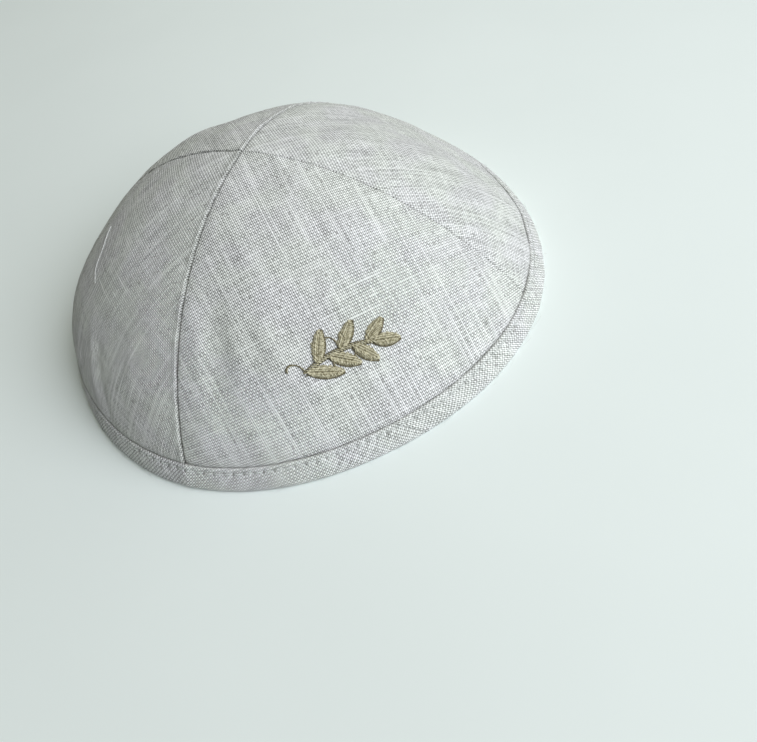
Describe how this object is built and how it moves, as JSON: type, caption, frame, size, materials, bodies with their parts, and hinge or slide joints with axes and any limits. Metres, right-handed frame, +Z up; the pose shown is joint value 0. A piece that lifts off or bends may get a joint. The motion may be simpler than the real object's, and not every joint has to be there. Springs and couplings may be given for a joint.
{
  "type": "kippah",
  "caption": "Shallow skullcap of slubbed linen: curved panels sewn edge to edge under the crown, a folded bias binding round the rim and a small embroidered sprig on the front panel.",
  "frame": {"origin": "on the surface the cap rests on, under the middle of its rim", "axes": "+Z up through the crown, front panel towards -Y, right panel towards +X as seen from above"},
  "size_m": [0.1625, 0.1625, 0.0571],
  "materials": {
    "linen": "matte slubbed linen",
    "bias_linen": "matte slubbed linen cut on the bias",
    "olive_thread": "satin embroidery thread"
  },
  "bodies": {
    "root": {"panel_front": "linen", "panel_right": "linen", "panel_back": "linen", "panel_left": "linen", "rim_binding": "bias_linen", "embroidered_sprig": "olive_thread"}
  },
  "joints": []
}
